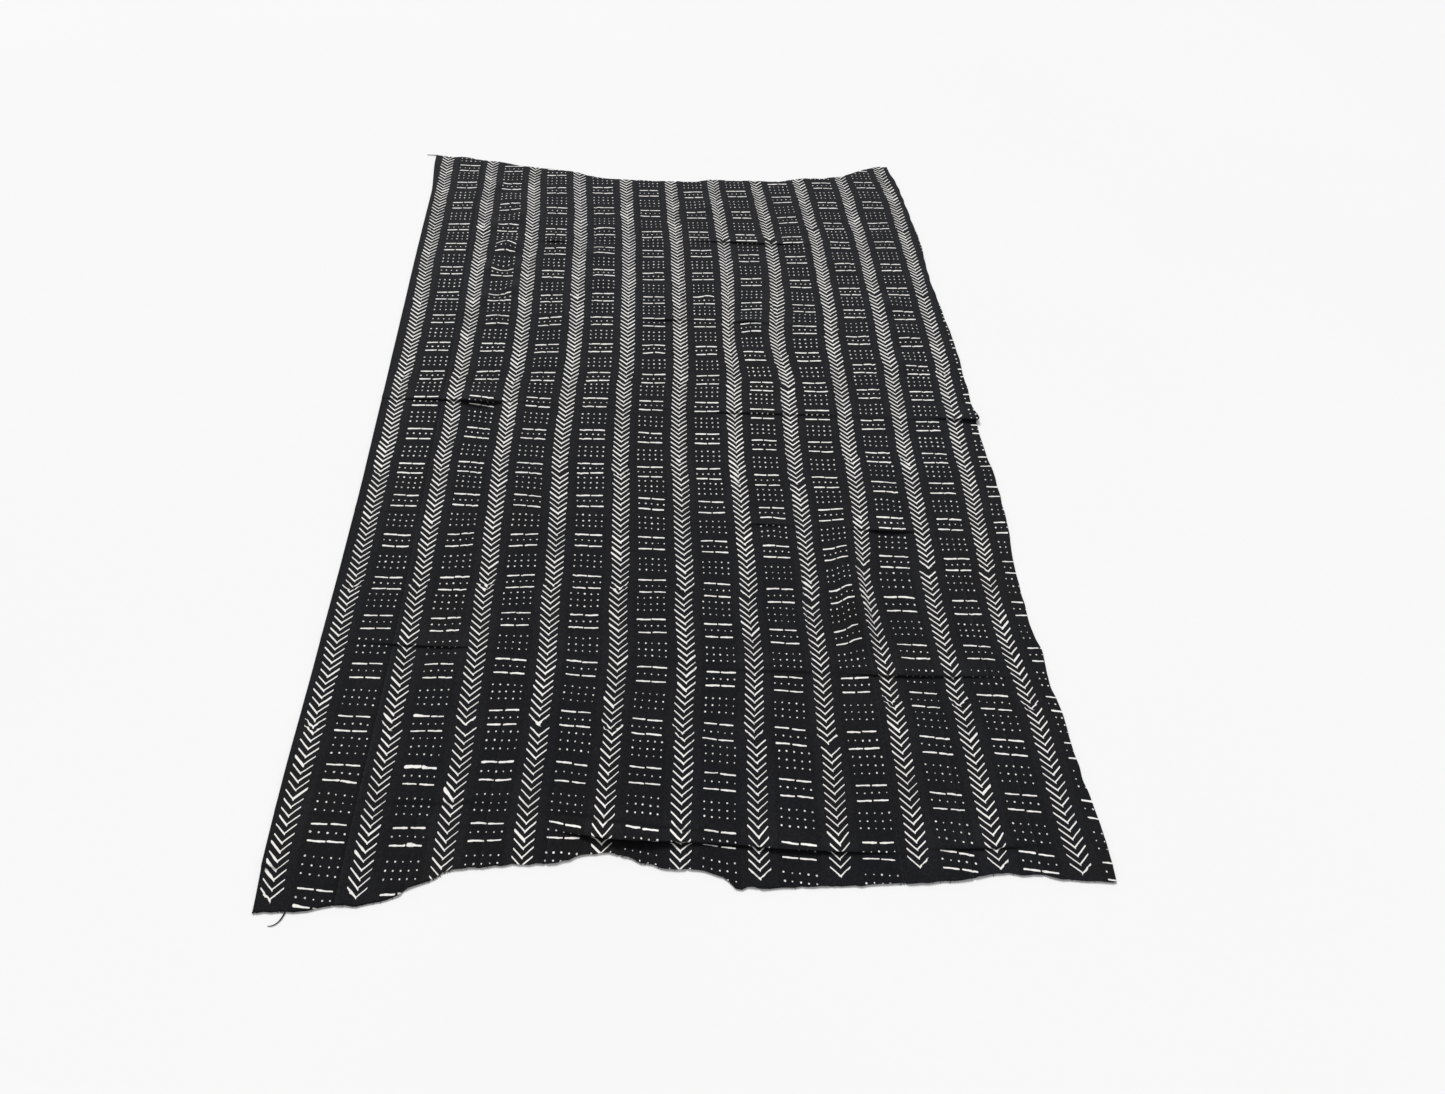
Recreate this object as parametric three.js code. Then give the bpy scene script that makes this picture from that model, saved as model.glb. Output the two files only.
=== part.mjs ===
// Mud cloth: twelve hand-woven cotton strips sewn side by side, laid out flat on a surface.
// Millimetres. X runs across the strips, +Y from the near cut end to the far one, +Z is up.
// The underside rests on Z = 0, and the origin is under the middle of the cloth's box.
import * as THREE from 'three';

// Driving sizes
const clothLength = 1730; // from the near corners to the far corners
const clothThickness = 1.6;
const seamGap = 0.3; // the clear gap between two strips' edges, where the sewing lies
const boxMiddleX = 7.4; // the middle of the outline, which bulges more to the right
const cellsAcrossStrip = 4;
const charcoal = 0x1f2024;

// Painted columns of chevrons run along the cloth. The first, middle and last of them are
// the lines that the cloth's sideways sway is read from. Places across the cloth count from
// the left edge of a strip of even width, so the real edges lie a little to either side.
const firstColumn = 30;
const columnPitch = 106;
const columnCount = 11;
const middleColumn = firstColumn + (columnPitch * (columnCount - 1)) / 2;
const lastColumn = firstColumn + columnPitch * (columnCount - 1);
const clothWidth = 1135;

// Where those lines and the two selvedges lie, as X before centring, at distances along the
// cloth from its near corners.
const sway = [
  { along: 0, leftEdge: -561, first: -538, middle: -30, last: 513, rightEdge: 557 },
  { along: 80, leftEdge: -564, first: -537, middle: -26, last: 512, rightEdge: 557 },
  { along: 405, leftEdge: -556, first: -530, middle: -5, last: 504, rightEdge: 555 },
  { along: 730, leftEdge: -552, first: -524, middle: -4, last: 521, rightEdge: 572 },
  { along: 1055, leftEdge: -552, first: -522, middle: 7, last: 538, rightEdge: 577 },
  { along: 1380, leftEdge: -552, first: -528, middle: 10, last: 542, rightEdge: 574 },
  { along: 1560, leftEdge: -551, first: -528, middle: 6, last: 541, rightEdge: 569 },
  { along: 1710, leftEdge: -560, first: -530, middle: 3, last: 529, rightEdge: 556 },
];

// Where the seams lie, across the cloth.
const seams = [112, 200, 295, 383, 480, 573, 666, 761, 857, 949, 1042];
const stripCount = seams.length + 1;

// How far the near end lies inside the line between the near corners.
const nearEnd = [
  { across: 0, inside: 0 },
  { across: 75, inside: 0 },
  { across: 112, inside: 4 },
  { across: 172, inside: 7 },
  { across: 190, inside: 11 },
  { across: 222, inside: 28 },
  { across: 255, inside: 42 },
  { across: 305, inside: 49 },
  { across: 404, inside: 49 },
  { across: 465, inside: 59 },
  { across: 504, inside: 52 },
  { across: 537, inside: 43 },
  { across: 585, inside: 33 },
  { across: 642, inside: 21 },
  { across: 652, inside: 7 },
  { across: 920, inside: 6 },
  { across: 980, inside: 15 },
  { across: 1043, inside: 10 },
  { across: 1075, inside: 4 },
  { across: 1135, inside: 0 },
];

// How far the far end lies inside the line between the far corners.
const farEnd = [
  { across: 0, inside: 0 },
  { across: 112, inside: 22 },
  { across: 200, inside: 38 },
  { across: 295, inside: 54 },
  { across: 383, inside: 82 },
  { across: 480, inside: 91 },
  { across: 666, inside: 87 },
  { across: 857, inside: 75 },
  { across: 949, inside: 60 },
  { across: 1042, inside: 24 },
  { across: 1120, inside: 0 },
];

// The lines along which the cloth was folded for storage: how far along each one meets the
// left selvedge and the right one.
const foldLines = [
  { left: 128, right: 20 },
  { left: 388, right: 300 },
  { left: 640, right: 575 },
  { left: 902, right: 848 },
  { left: 1150, right: 1110 },
  { left: 1425, right: 1372 },
];

// Where the cloth still stands up at a fold line: it swells from `from` to `peak` and sinks
// to `to`, all measured across, on a crest `shift` beyond the line. `front` is its steep side,
// towards the near end, `back` is its soft side, and `lean` is how far the crest rolls over.
const creases = [
  { fold: 0, shift: 30, from: -60, peak: 380, to: 800, rise: 3.5, front: 14, back: 36, lean: 0 },
  { fold: 0, shift: 0, from: 372, peak: 510, to: 820, rise: 12, front: 11, back: 30, lean: 7 },
  { fold: 0, shift: 0, from: 640, peak: 830, to: 1010, rise: 4, front: 10, back: 40, lean: 1 },
  { fold: 1, shift: 0, from: 80, peak: 170, to: 270, rise: 4, front: 10, back: 40, lean: 1 },
  { fold: 1, shift: 0, from: 540, peak: 700, to: 860, rise: 5, front: 10, back: 44, lean: 1 },
  { fold: 1, shift: 0, from: 830, peak: 910, to: 1120, rise: 5, front: 10, back: 44, lean: 1 },
  { fold: 2, shift: 0, from: 655, peak: 708, to: 770, rise: 4, front: 10, back: 36, lean: 1 },
  { fold: 2, shift: 0, from: 850, peak: 915, to: 990, rise: 5, front: 10, back: 36, lean: 1 },
  { fold: 3, shift: 0, from: -40, peak: 185, to: 255, rise: 8, front: 10, back: 44, lean: 4 },
  { fold: 3, shift: 0, from: 540, peak: 670, to: 1030, rise: 5, front: 10, back: 44, lean: 1 },
  { fold: 3, shift: 0, from: 1010, peak: 1135, to: 1260, rise: 8, front: 10, back: 44, lean: 2 },
  { fold: 4, shift: 0, from: 470, peak: 530, to: 600, rise: 4, front: 10, back: 36, lean: 1 },
  { fold: 4, shift: 0, from: 650, peak: 700, to: 760, rise: 4, front: 10, back: 36, lean: 1 },
  { fold: 5, shift: 0, from: 540, peak: 700, to: 950, rise: 6, front: 10, back: 44, lean: 2 },
];

// Ridges that run along a seam whose strips were sewn at different tension.
const seamRidges = [
  { across: 857, from: 340, peak: 500, to: 620, rise: 8, left: 58, right: 20 },
];

// Rows of soft puffs, where one strip has more length than the strip sewn to it.
const puffRows = [
  { across: 178, from: 1075, to: 1625, pitch: 92, rise: 5, halfWidth: 50 },
  { across: 400, from: 1210, to: 1490, pitch: 92, rise: 4, halfWidth: 44 },
  { across: 708, from: 980, to: 1210, pitch: 92, rise: 4, halfWidth: 44 },
  { across: 1020, from: 960, to: 1240, pitch: 92, rise: 4, halfWidth: 48 },
];

// Rows of faces between two fold lines, counting from the near end.
const rowsBetweenFolds = [1, 3, 3, 3, 3, 4, 4];
const rowFront = 11; // a row just before each fold line, then one on it and three beyond
const rowsBeyond = [15, 30, 50];

const smooth = (share) => THREE.MathUtils.smoothstep(share, 0, 1);

// Reads one column of a table at any place, on a smooth curve that never overshoots its rows.
function read(table, place, value, at) {
  let i = 0;
  while (i < table.length - 2 && at > table[i + 1][place]) i += 1;
  const slope = (k) => {
    const a = table[k];
    const b = table[k + 1];
    return a && b ? (b[value] - a[value]) / (b[place] - a[place]) : 0;
  };
  const blend = (p, q) => (p * q > 0 ? (2 * p * q) / (p + q) : 0);
  const here = table[i];
  const next = table[i + 1];
  const span = next[place] - here[place];
  const t = THREE.MathUtils.clamp((at - here[place]) / span, 0, 1);
  const leave = blend(slope(i - 1), slope(i)) * span;
  const arrive = blend(slope(i), slope(i + 1)) * span;
  const step = next[value] - here[value];
  return here[value] + t * (leave + t * (3 * step - 2 * leave - arrive
    + t * (leave + arrive - 2 * step)));
}

// X of a point of the cloth: a parabola through the three painted lines.
function crossPlace(across, along) {
  const first = read(sway, 'along', 'first', along);
  const middle = read(sway, 'along', 'middle', along);
  const last = read(sway, 'along', 'last', along);
  const t = (across - middleColumn) / (lastColumn - middleColumn);
  return middle + ((last - first) * t + (last + first - 2 * middle) * t * t) / 2 - boxMiddleX;
}

// Where the two selvedges are, measured across: the outer strips' width varies.
function leftSelvedge(along) {
  const margin = read(sway, 'along', 'first', along) - read(sway, 'along', 'leftEdge', along);
  return firstColumn - margin;
}

function rightSelvedge(along) {
  const margin = read(sway, 'along', 'rightEdge', along) - read(sway, 'along', 'last', along);
  return lastColumn + margin;
}

function foldPlace(fold, across) {
  const { left, right } = foldLines[fold];
  return THREE.MathUtils.lerp(left, right, across / clothWidth);
}

// Swells from one end to the peak and sinks to the other end.
function swell(at, { from, peak, to }) {
  return at < peak ? smooth((at - from) / (peak - from)) : smooth((to - at) / (to - peak));
}

// A soft hill: 1 on the crest, 0 past each foot.
function hill(distance, nearSide, farSide) {
  const share = Math.min(Math.abs(distance) / (distance < 0 ? nearSide : farSide), 1);
  return (1 + Math.cos(Math.PI * share)) / 2;
}

// How far the cloth's underside stands off the surface, and how far it rolls over there.
function relief(across, along) {
  let height = 0;
  let lean = 0;
  for (const crease of creases) {
    const distance = along - foldPlace(crease.fold, across) - crease.shift;
    const shape = swell(across, crease) * hill(distance, crease.front, crease.back);
    height += crease.rise * shape;
    lean += crease.lean * shape;
  }
  for (const ridge of seamRidges) {
    height += ridge.rise * swell(along, ridge) * hill(across - ridge.across, ridge.left, ridge.right);
  }
  for (const puffs of puffRows) {
    const turns = (along - puffs.from) / puffs.pitch;
    const within = along > puffs.from && along < puffs.to ? 1 : 0;
    const wave = ((1 - Math.cos(2 * Math.PI * turns)) / 2) * within;
    height += puffs.rise * wave * hill(across - puffs.across, puffs.halfWidth, puffs.halfWidth);
  }
  return { height, lean };
}

// A point of the cloth's underside.
function underside(across, along) {
  const { height, lean } = relief(across, along);
  return new THREE.Vector3(crossPlace(across, along), along - clothLength / 2 - lean, height);
}

// The way through the cloth, square to the underside as seen from its side.
function throughCloth(across, along) {
  const reach = 3;
  const rise = underside(across, along + reach).sub(underside(across, along - reach));
  return new THREE.Vector3(0, -rise.z, rise.y).normalize().multiplyScalar(clothThickness);
}

// Where the rows of faces cross the cloth: close together on the creases, and spread evenly
// between them.
function rowPlaces(across) {
  const near = read(nearEnd, 'across', 'inside', across);
  const far = clothLength - read(farEnd, 'across', 'inside', across);
  const places = [near];
  for (let fold = 0; fold <= foldLines.length; fold += 1) {
    const start = places[places.length - 1];
    const last = fold === foldLines.length;
    const end = last ? far : foldPlace(fold, across) - rowFront;
    const rows = rowsBetweenFolds[fold];
    for (let row = 1; row <= rows; row += 1) {
      places.push(THREE.MathUtils.lerp(start, end, row / rows));
    }
    if (!last) {
      const line = foldPlace(fold, across);
      places.push(line, ...rowsBeyond.map((beyond) => line + beyond));
    }
  }
  return places;
}

// One strip as a closed sheet: an upper and a lower face, joined by a rim.
function stripGeometry(index) {
  const leftSide = (along) => (index === 0 ? leftSelvedge(along) : seams[index - 1] + seamGap / 2);
  const rightSide = (along) => (index === stripCount - 1
    ? rightSelvedge(along) : seams[index] - seamGap / 2);
  const columns = [];
  for (let cell = 0; cell <= cellsAcrossStrip; cell += 1) {
    const share = cell / cellsAcrossStrip;
    const acrossAt = (along) => THREE.MathUtils.lerp(leftSide(along), rightSide(along), share);
    columns.push(rowPlaces(acrossAt(clothLength / 2)).map((along) => {
      const across = acrossAt(along);
      const lower = underside(across, along);
      return { lower, upper: lower.clone().add(throughCloth(across, along)) };
    }));
  }

  const rowCount = columns[0].length;
  const positions = columns.flat().flatMap(({ lower, upper }) => [...lower, ...upper]);
  const lowerAt = (column, row) => 2 * (column * rowCount + row);
  const upperAt = (column, row) => lowerAt(column, row) + 1;
  const faces = [];
  const quad = (a, b, c, d) => faces.push(a, b, c, a, c, d);
  for (let c = 0; c < cellsAcrossStrip; c += 1) {
    for (let r = 0; r < rowCount - 1; r += 1) {
      quad(upperAt(c, r), upperAt(c + 1, r), upperAt(c + 1, r + 1), upperAt(c, r + 1));
      quad(lowerAt(c, r), lowerAt(c, r + 1), lowerAt(c + 1, r + 1), lowerAt(c + 1, r));
    }
    const end = rowCount - 1;
    quad(lowerAt(c, 0), lowerAt(c + 1, 0), upperAt(c + 1, 0), upperAt(c, 0));
    quad(lowerAt(c + 1, end), lowerAt(c, end), upperAt(c, end), upperAt(c + 1, end));
  }
  for (let r = 0; r < rowCount - 1; r += 1) {
    const side = cellsAcrossStrip;
    quad(lowerAt(0, r + 1), lowerAt(0, r), upperAt(0, r), upperAt(0, r + 1));
    quad(lowerAt(side, r), lowerAt(side, r + 1), upperAt(side, r + 1), upperAt(side, r));
  }

  const geometry = new THREE.BufferGeometry();
  geometry.setAttribute('position', new THREE.Float32BufferAttribute(positions, 3));
  geometry.setIndex(faces);
  geometry.computeVertexNormals();
  return geometry;
}

const mudCloth = new THREE.Group();
for (let index = 0; index < stripCount; index += 1) {
  const material = new THREE.MeshStandardMaterial({
    color: charcoal,
    roughness: 0.95,
    metalness: 0,
  });
  const strip = new THREE.Mesh(stripGeometry(index), material);
  strip.name = `strip_${String(index + 1).padStart(2, '0')}`;
  mudCloth.add(strip);
}

export default mudCloth;
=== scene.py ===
# Mud cloth: twelve hand-woven cotton strips sewn side by side, lying on a pale floor.
# The frame is in metres. Sizes on the cloth are written in millimetres, as a weaver counts them.
import math

import bmesh
import bpy
import numpy as np
from mathutils import Matrix, Vector


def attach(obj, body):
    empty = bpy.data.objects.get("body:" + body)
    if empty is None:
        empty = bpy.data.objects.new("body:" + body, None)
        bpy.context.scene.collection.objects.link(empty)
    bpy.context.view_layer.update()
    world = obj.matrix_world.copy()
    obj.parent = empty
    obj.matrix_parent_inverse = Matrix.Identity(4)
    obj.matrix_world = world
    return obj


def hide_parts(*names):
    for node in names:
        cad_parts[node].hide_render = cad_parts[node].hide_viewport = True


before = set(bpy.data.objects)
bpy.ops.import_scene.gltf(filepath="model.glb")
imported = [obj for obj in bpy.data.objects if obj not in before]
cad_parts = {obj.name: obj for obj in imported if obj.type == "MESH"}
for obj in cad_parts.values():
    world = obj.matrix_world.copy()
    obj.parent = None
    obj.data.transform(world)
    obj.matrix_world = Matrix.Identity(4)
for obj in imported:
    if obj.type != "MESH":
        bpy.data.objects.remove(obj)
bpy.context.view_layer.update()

MM = 0.001
COLUMN_NAMES = "first second third fourth fifth sixth seventh eighth ninth tenth eleventh"

# Sizes of the cloth
CLOTH_LENGTH = 1730
CLOTH_THICKNESS = 1.2
CLOTH_WIDTH = 1135
BOX_MIDDLE_X = 7.4  # X of the middle of the cloth's box, before centring
STRIP_COUNT = 12

# Painted columns of chevrons. Places across the cloth count from the left edge of a strip of
# even width, and places along it from the near corners.
FIRST_COLUMN = 30
COLUMN_PITCH = 106
MIDDLE_COLUMN = FIRST_COLUMN + COLUMN_PITCH * 5
LAST_COLUMN = FIRST_COLUMN + COLUMN_PITCH * 10


def columns(names, *rows):
    """A short table as one array for each named column."""
    return dict(zip(names.split(), np.array(rows, float).T))


def entries(names, *rows):
    """A short table as one dict for each row."""
    return [dict(zip(names.split(), row)) for row in rows]


# Where the painted lines and the selvedges lie, as X before centring.
SWAY = columns(
    "along left_edge first middle last",
    (0, -561, -538, -30, 513),
    (80, -564, -537, -26, 512),
    (405, -556, -530, -5, 504),
    (730, -552, -524, -4, 521),
    (1055, -552, -522, 7, 538),
    (1380, -552, -528, 10, 542),
    (1560, -551, -528, 6, 541),
    (1710, -560, -530, 3, 529),
)
RIGHT_EDGE = columns(
    "along x",
    (0, 557), (45, 559), (165, 556), (225, 558), (285, 555), (345, 559), (405, 554),
    (465, 557), (525, 560), (585, 567), (705, 573), (765, 570), (845, 571), (860, 577),
    (885, 574), (1065, 578), (1125, 576), (1305, 571), (1425, 576), (1485, 573),
    (1605, 568), (1665, 564), (1725, 554),
)
SEAMS = (112, 200, 295, 383, 480, 573, 666, 761, 857, 949, 1042)

# How far each cut end lies inside the line between its corners.
NEAR_END = columns(
    "across inside",
    (0, 0), (72, -1), (105, 5), (138, 4), (170, 7), (186, 11), (202, 21), (218, 28),
    (234, 33), (250, 42), (284, 46), (396, 49), (412, 52), (428, 56), (445, 58), (462, 59),
    (478, 57), (494, 53), (510, 46), (526, 43), (543, 36), (591, 33), (607, 28), (623, 22),
    (640, 8), (656, 10), (672, 8), (810, 7), (930, 8), (962, 13), (994, 16), (1010, 13),
    (1042, 11), (1075, 4), (1135, 0),
)
FAR_END = columns(
    "across inside",
    (0, 2), (20, 7), (40, 11), (60, 8), (80, 11), (100, 18), (120, 22), (160, 27), (200, 39),
    (240, 45), (280, 52), (320, 57), (340, 62), (360, 72), (380, 79), (400, 83), (440, 88),
    (500, 90), (620, 89), (640, 82), (660, 79), (820, 79), (840, 75), (860, 69), (900, 61),
    (940, 60), (960, 54), (980, 51), (1000, 42), (1020, 32), (1040, 21), (1060, 12),
    (1080, 8), (1100, 2), (1135, 0),
)

# How the edges waver on a small scale: how far, over how short a stretch, and over how long a
# stretch the waver itself changes.
NEAR_WAVERS = entries("reach short long seed", (0.6, 2.3, 50, 8), (1.6, 11, 50, 16))
FAR_WAVERS = entries("reach short long seed", (0.6, 2.3, 50, 9), (1.2, 13, 50, 17))
SELVEDGE_WAVERS = entries("reach short long seed", (1.5, 21, 400, 15))
# The lines along which the cloth was folded for storage.
FOLD_LINES = entries(
    "left right",
    (128, 20), (388, 300), (640, 575), (902, 848), (1150, 1110), (1425, 1372),
)
# Each crease runs from one place across the cloth to another and is highest at its peak. The
# places along the cloth at its two ends are from_at and to_at. It is steep in front, towards
# the near end, and leans over there, and shade tells how dark the painted shade in the fold under it
# is.
CREASES = entries(
    "from from_at to to_at peak rise front back lean shade",
    (372, 93, 660, 65, 480, 10, 5, 30, 10, 1.0),
    (560, 75, 905, 43, 700, 5, 4, 26, 7, 0.9),
    (860, 52, 1100, 52, 960, 3, 4, 24, 4, 0.6),
    (300, 131, 730, 66, 450, 2.4, 2.5, 18, 2.4, 1.0),
    (30, 141, 430, 126, 230, 1.8, 2.5, 16, 2, 0.85),
    (-30, 58, 62, 54, 6, 1.2, 3, 16, 1, 0.9),
    (40, 382, 262, 369, 172, 3, 3, 30, 3, 0.7),
    (540, 332, 860, 315, 700, 2, 5, 36, 1, 0.25),
    (790, 317, 1130, 304, 890, 4, 4, 36, 4, 0.8),
    (655, 606, 770, 598, 708, 3, 5, 34, 2, 0.3),
    (850, 592, 990, 584, 920, 5, 4, 34, 5, 0.9),
    (-40, 900, 330, 890, 110, 2.5, 3, 30, 2.5, 0.6),
    (120, 897, 244, 892, 186, 8, 5, 40, 8, 0.9),
    (540, 870, 1030, 858, 670, 2.6, 5, 44, 2, 0.4),
    (1010, 858, 1260, 850, 1135, 7, 5, 44, 6, 0.8),
    (470, 1134, 600, 1130, 530, 3, 6, 34, 2, 0.3),
    (650, 1128, 760, 1124, 700, 3, 6, 34, 2, 0.3),
    (560, 1404, 950, 1396, 712, 4, 5, 44, 4, 0.6),
    (252, 1393, 338, 1389, 295, 3, 4, 24, 3, 0.6),
)
HIDDEN_IN_FOLD = 8  # of the pattern, inside the first crease
FOLD_MOUTH = (-8, -4)  # where the pattern goes into that crease, from its line
SHADE_LINE = 0.8  # of a crease's front slope: how far before its crest it is darkest
SHADE_REACH = 0.35  # of its front slope
# Low unevenness of the whole cloth: how high it rises
LOOSE_WEAVE = 0.7
CLOSE_WEAVE = 0.35
SEAM_PUCKER = 0.5
PUCKER_PLACE = 6  # where the puckers are highest, from the seam
FOLD_LINE_RISE = 0.9
SEAM_RIDGES = entries("across from peak to rise left right", (857, 320, 450, 610, 9, 36, 18))
# Where one strip was sewn on longer than the next, its cloth stands up in puffs.
PUFFS = entries(
    "across along half_width half_length rise",
    (197, 1376, 38, 42, 6), (164, 1288, 30, 40, 5), (228, 1294, 28, 38, 4), (160, 1446, 26, 34, 5),
    (216, 1484, 30, 38, 4), (186, 1548, 34, 40, 4), (158, 1604, 26, 32, 3), (216, 1226, 28, 38, 4),
    (160, 1190, 26, 34, 4), (190, 1126, 32, 36, 3), (400, 1256, 44, 44, 3.5),
    (392, 1350, 44, 44, 4), (404, 1442, 40, 44, 3.5), (700, 1026, 44, 44, 3),
    (712, 1118, 44, 46, 4), (1012, 1006, 46, 46, 4),
    (1026, 1098, 46, 46, 4), (1014, 1192, 46, 44, 4), (520, 1300, 34, 46, 3),
    (640, 1540, 40, 50, 3), (300, 1000, 34, 46, 3), (930, 1330, 40, 48, 3),
)

# The pattern was printed again and again along the cloth, with a block as long as three
# pairs of dashes. Each row says where one printing starts, at the first, fourth and eighth
# column of the first block's width, and at the ninth and eleventh, which a second block made.
PRINTINGS = columns(
    "first fourth eighth ninth eleventh sideways",
    (-237, -239, -279, -211, -233, 0.0),
    (3, -1, -41, 27, 7, -2.3),
    (239, 239, 199, 260, 248, 1.3),
    (477, 475, 446, 509, 499, -1.8),
    (716, 716, 686, 744, 733, 0.1),
    (947, 950, 929, 979, 972, -2.2),
    (1186, 1191, 1163, 1225, 1216, -2.1),
    (1426, 1419, 1405, 1461, 1459, -0.9),
    (1663, 1657, 1645, 1699, 1697, -0.6),
    (1900, 1895, 1884, 1935, 1933, 0.0),
)
FIRST_BLOCK_COLUMNS = 8
FIRST_BLOCK = {"first": 0.5, "fourth": 3.5, "eighth": 7.5}
SECOND_BLOCK = {"ninth": 8.5, "eleventh": 10.5}
PRINTING_LENGTH = 239
# Rows of one printing: a dash row, a dot row, a dash row and three dot rows, three times over.
ROW_PLACES = (
    0, 11, 22.5, 41, 52, 63,
    83, 94.5, 106, 124.5, 135.5, 147,
    166, 177.5, 189, 206, 217, 228.5,
)
# How far a row of dashes rises for each millimetre to the right: in most blocks, and in the
# second, third and eighth, where the strips were pulled askew.
DASH_SLANTS = columns(
    "along usual second third eighth",
    (0, -0.17, -0.02, 0.02, -0.09),
    (80, -0.15, -0.06, 0.00, -0.05),
    (160, -0.13, -0.06, 0.00, -0.02),
    (240, -0.11, -0.02, 0.00, 0.00),
    (320, -0.08, 0.00, -0.06, 0.03),
    (380, -0.06, 0.02, -0.02, 0.17),
    (460, -0.04, 0.02, 0.03, 0.12),
    (560, -0.04, 0.08, 0.04, 0.12),
    (650, -0.03, -0.02, -0.10, 0.02),
    (880, -0.01, -0.18, -0.08, -0.03),
    (960, 0.02, 0.05, 0.00, 0.02),
    (1120, 0.03, 0.00, 0.12, 0.00),
    (1200, 0.03, 0.15, 0.06, -0.03),
    (1290, 0.03, -0.04, 0.02, 0.02),
    (1370, 0.04, -0.06, 0.05, 0.05),
    (1510, 0.04, 0.17, 0.03, 0.14),
    (1600, 0.04, 0.04, 0.03, 0.06),
    (1700, 0.00, 0.04, -0.08, 0.04),
)
ASKEW_BLOCKS = {1: "second", 2: "third", 7: "eighth"}
# How far the rows of each block lie beyond their even places, where the strips were pulled
# along as they were sewn.
ROW_PULLS = columns(
    "along " + COLUMN_NAMES,
    (60, 0, -8, -3, -3, -1, 0, -8, -3, -4, 0, -8),
    (150, -1, -8, -5, -9, -4, -6, -8, -8, -5, 0, -4),
    (240, -1, -3, 4, 0, -5, -5, -5, -1, -2, -2, -3),
    (330, 0, -2, 4, -1, -4, -5, -7, -1, -6, -4, -5),
    (420, 0, -5, 4, -1, -3, -5, -10, -3, -8, -10, -9),
    (510, -1, -1, 1, 0, -1, -1, -4, -2, 1, 0, -1),
    (600, 0, 1, 0, -1, 0, -1, -6, -2, 2, 3, 1),
    (780, 0, 3, 1, 0, -1, 4, -4, -2, 0, 3, 0),
    (870, 4, 4, 2, 0, 0, 3, -9, -5, 1, 2, -1),
    (1050, 0, -2, -5, -2, 0, 6, -3, 3, -1, -1, -1),
    (1140, 0, -4, -7, -5, -1, 7, -1, 2, -3, -2, 0),
    (1230, 0, -4, -7, 0, -2, 7, -5, -3, -3, 4, 0),
    (1410, -1, 1, -7, -1, -4, 4, -1, -1, -1, 6, 0),
    (1500, -1, 0, -8, -2, -4, -5, 4, -8, 1, 6, 3),
    (1590, 0, 1, -10, -1, -6, -4, 7, -8, 1, 9, 6),
    (1690, 0, 4, -5, 0, -3, -2, 0, 0, 1, 10, 0),
)
# Where rows of a block bend up or down at one place. Here across counts from its middle.
ROW_BENDS = entries(
    "block along half_length across half_width rise",
    (7, 450, 170, 13, 24, 7), (6, 585, 56, -4, 30, 5), (8, 645, 40, 22, 24, -5),
    (1, 1376, 34, 0, 30, 9), (1, 1298, 34, 0, 30, -9), (1, 1460, 30, 2, 30, 7),
    (1, 1210, 34, -2, 28, -6), (5, 1216, 30, 10, 22, 6), (4, 1040, 30, 4, 26, 4),
)
# Where the printed columns lie to one side of their even places.
DRIFTS = entries(
    "across along sideways half_width half_length",
    (20, 110, -9, 100, 260),
    (250, 640, -5, 260, 480),
    (725, 1105, -11, 120, 190),
    (890, 480, -11, 90, 190),
    (1085, 250, 7, 110, 150),
    (300, 1670, -6, 220, 200),
    (780, 1670, -6, 240, 190),
    (800, 150, 3, 180, 200),
    (1085, 1600, 4, 90, 200),
    (820, 1055, -8, 260, 130),
    (880, 1530, -3.5, 300, 120),
    (620, 330, 3.5, 300, 120),
    (150, 820, 3.5, 160, 90),
)
CHEVRONS_PER_PRINTING = 21
# The gap between the tips of two printings in each column of chevrons, and how far beyond the
# printing's own start the column starts.
CHEVRON_GAPS = columns(
    COLUMN_NAMES,
    (12, 12, 12, 12, 12, 12, 12, 12, 12, 12, 12),
    (9, 14, 18, 19, 9, 11.5, 15, 19.5, 9.5, 11.5, 11),
    (8.5, 12, 8.5, 11, 9, 16, 14, 16, 20, 20, 18),
    (10, 10.5, 13, 15, 9.5, 12, 11, 16, 9.5, 9.5, 11),
    (9, 12, 9, 12, 12, 11, 12, 17, 11, 12, 9),
    (9, 12, 9, 15, 9, 11, 12, 12, 13, 16, 16),
    (11, 13, 12, 11, 11, 11, 16, 20, 16, 11, 14),
    (12, 12, 12, 12, 12, 12, 12, 12, 12, 12, 12),
    (12, 12, 12, 12, 12, 12, 12, 12, 12, 12, 12),
)
CHEVRON_STARTS = columns(
    COLUMN_NAMES,
    (0, 0, 0, 0, 0, 0, 0, 0, 0, 0, 0),
    (0, 0, 0, 0, 0, 0, 0, 0, 0, 0, 0),
    (6, 0, 6, 5, 0, 0, 0, 0, 5, 2, 0),
    (3, 4, 4, 5, 1, 4, -2, -2, 6, 3, 0),
    (3, 6, 7, 3, -1, 7, 0, 3, 4, 7, -4),
    (8, 7, 0, 6, 2, 0, 1, 6, -3, -4, 7),
    (7, 0, 0, 5, 6, 0, 0, 0, 3, 7, 7),
    (0, 0, 0, 0, 0, 0, 0, 8, 0, 0, 0),
    (0, 0, 0, 0, 0, 0, 0, 0, 0, 0, 0),
    (0, 0, 0, 0, 0, 0, 0, 0, 0, 0, 0),
)
PAINT_PITCH = 12  # rows and chevrons are this far apart on the paint map, whatever their real gap
ROW_REACH = 4.5  # round a row the paint map keeps the cloth's own scale
BARE_NEAR_END = 10  # where the first whole chevron may start
MARGIN_MIDDLE = 24  # bare cloth between a column of chevrons and the blocks beside it

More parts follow.
